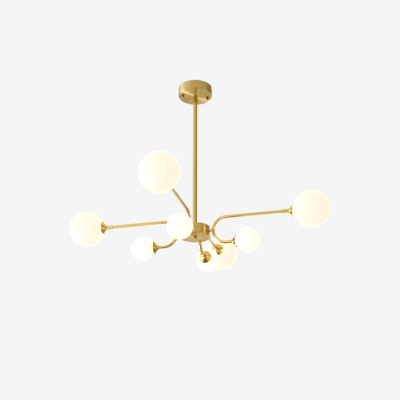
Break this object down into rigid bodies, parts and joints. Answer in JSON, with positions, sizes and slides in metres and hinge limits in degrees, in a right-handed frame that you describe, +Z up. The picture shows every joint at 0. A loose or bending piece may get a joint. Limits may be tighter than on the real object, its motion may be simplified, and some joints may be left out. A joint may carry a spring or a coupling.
{
  "type": "branch chandelier",
  "caption": "Ceiling chandelier: canopy, drop rod and round hub with C-shaped brass branches, each with a large and a small opal glass globe on a swivel.",
  "frame": {"origin": "centre of the crossbar's upper face, on the ceiling plane and the rod's axis", "axes": "+Z up; +X along branch 1; +Y along branch 2"},
  "size_m": [0.895, 0.895, 0.634],
  "materials": {
    "brass": "brushed and lacquered",
    "steel": "zinc plated",
    "plastic": "moulded",
    "ceramic": "glazed steatite",
    "opal_glass": "opal, lit from inside",
    "lamp_glass": "clear"
  },
  "bodies": {
    "ceiling_frame": {"ceiling_crossbar": "steel", "terminal_block": "plastic", "canopy_screw_1": "brass", "canopy_screw_2": "brass", "canopy": "brass", "drop_rod": "brass", "rod_canopy_nut": "steel", "rod_hub_nut": "steel", "hub_body": "brass", "hub_base_plate": "brass", "hub_finial": "brass"},
    "branch_1": {"branch_1_tube": "brass", "branch_1_swivel_stub": "brass", "branch_1_stub_nut": "brass", "branch_1_ferrule": "brass", "branch_1_large_cup": "brass", "branch_1_large_lamp_holder": "ceramic", "branch_1_large_bulb": "lamp_glass", "branch_1_small_cup": "brass", "branch_1_small_lamp_holder": "ceramic", "branch_1_small_bulb": "lamp_glass", "branch_1_large_globe": "opal_glass", "branch_1_small_globe": "opal_glass"},
    "branch_2": {"branch_2_tube": "brass", "branch_2_swivel_stub": "brass", "branch_2_stub_nut": "brass", "branch_2_ferrule": "brass", "branch_2_large_cup": "brass", "branch_2_large_lamp_holder": "ceramic", "branch_2_large_bulb": "lamp_glass", "branch_2_small_cup": "brass", "branch_2_small_lamp_holder": "ceramic", "branch_2_small_bulb": "lamp_glass", "branch_2_large_globe": "opal_glass", "branch_2_small_globe": "opal_glass"},
    "branch_3": {"branch_3_tube": "brass", "branch_3_swivel_stub": "brass", "branch_3_stub_nut": "brass", "branch_3_ferrule": "brass", "branch_3_large_cup": "brass", "branch_3_large_lamp_holder": "ceramic", "branch_3_large_bulb": "lamp_glass", "branch_3_small_cup": "brass", "branch_3_small_lamp_holder": "ceramic", "branch_3_small_bulb": "lamp_glass", "branch_3_large_globe": "opal_glass", "branch_3_small_globe": "opal_glass"},
    "branch_4": {"branch_4_tube": "brass", "branch_4_swivel_stub": "brass", "branch_4_stub_nut": "brass", "branch_4_ferrule": "brass", "branch_4_large_cup": "brass", "branch_4_large_lamp_holder": "ceramic", "branch_4_large_bulb": "lamp_glass", "branch_4_small_cup": "brass", "branch_4_small_lamp_holder": "ceramic", "branch_4_small_bulb": "lamp_glass", "branch_4_large_globe": "opal_glass", "branch_4_small_globe": "opal_glass"}
  },
  "joints": [
    {"name": "branch_1_swivel", "type": "hinge", "parent": "ceiling_frame", "child": "branch_1", "pos_m": [0.05, 0, -0.55], "axis": [1, 0, 0], "range_deg": [-170, 170]},
    {"name": "branch_2_swivel", "type": "hinge", "parent": "ceiling_frame", "child": "branch_2", "pos_m": [0, 0.05, -0.55], "axis": [0, 1, 0], "range_deg": [-170, 170]},
    {"name": "branch_3_swivel", "type": "hinge", "parent": "ceiling_frame", "child": "branch_3", "pos_m": [-0.05, 0, -0.55], "axis": [-1, 0, 0], "range_deg": [-170, 170]},
    {"name": "branch_4_swivel", "type": "hinge", "parent": "ceiling_frame", "child": "branch_4", "pos_m": [0, -0.05, -0.55], "axis": [0, -1, 0], "range_deg": [-170, 170]}
  ]
}
